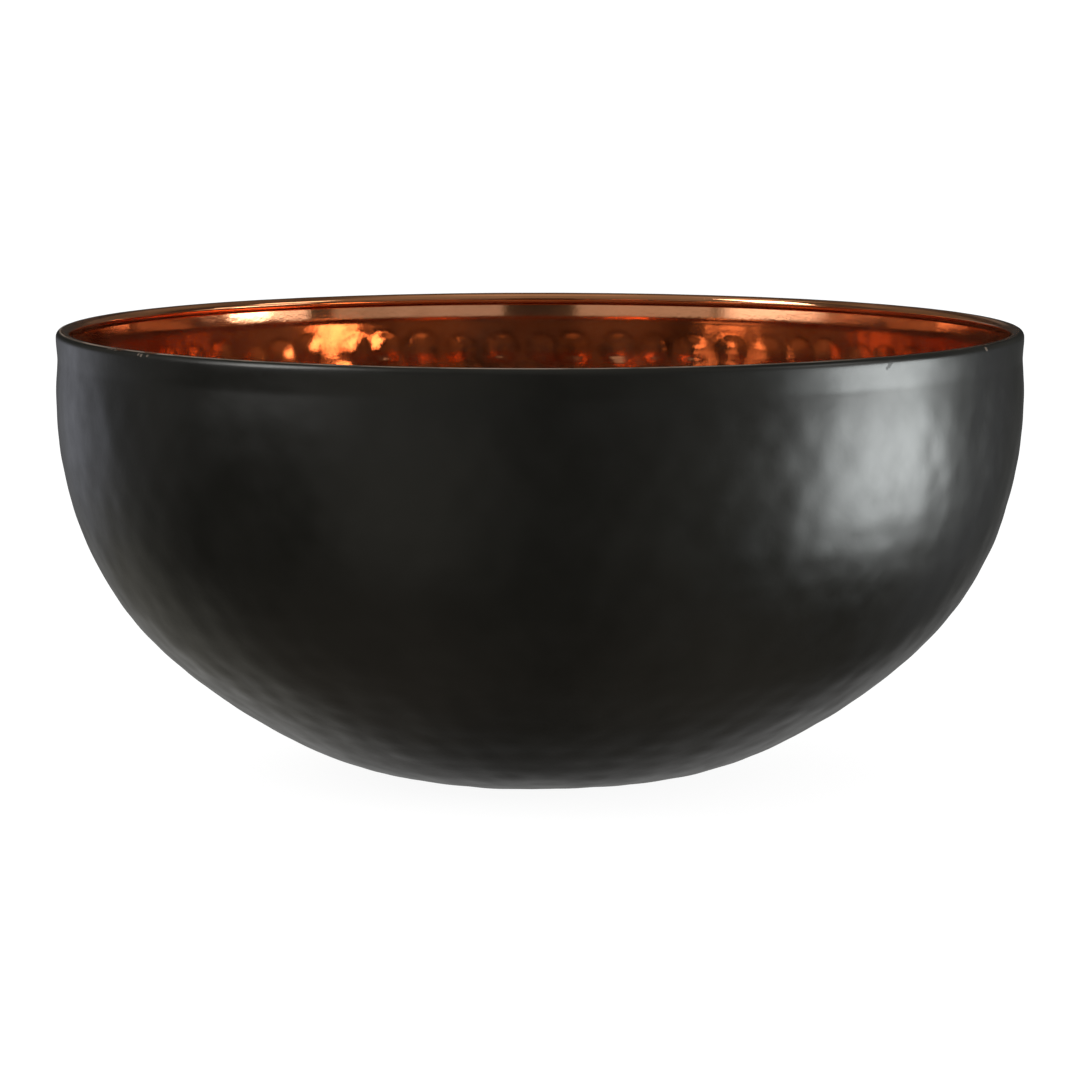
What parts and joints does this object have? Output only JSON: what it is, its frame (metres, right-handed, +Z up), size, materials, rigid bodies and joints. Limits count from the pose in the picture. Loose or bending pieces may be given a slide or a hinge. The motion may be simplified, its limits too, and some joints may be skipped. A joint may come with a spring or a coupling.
{
  "type": "hammered bowl",
  "caption": "Round hammered copper serving bowl with a rolled, wired rim, a satin black outside and a small flat base.",
  "frame": {"origin": "centre of the flat base's underside, which rests on the table", "axes": "+Z up along the bowl's axis; the bowl is round, so +X and +Y are free, and the wire's butt joint is on +X"},
  "size_m": [0.28, 0.28, 0.13],
  "materials": {
    "copper_sheet": "hammered copper, polished and lacquered",
    "black_coat": "satin black, baked on",
    "steel_wire": "drawn, dull"
  },
  "bodies": {
    "root": {"bowl_shell": "copper_sheet", "black_coating": "black_coat", "rim_wire": "steel_wire"}
  },
  "joints": []
}
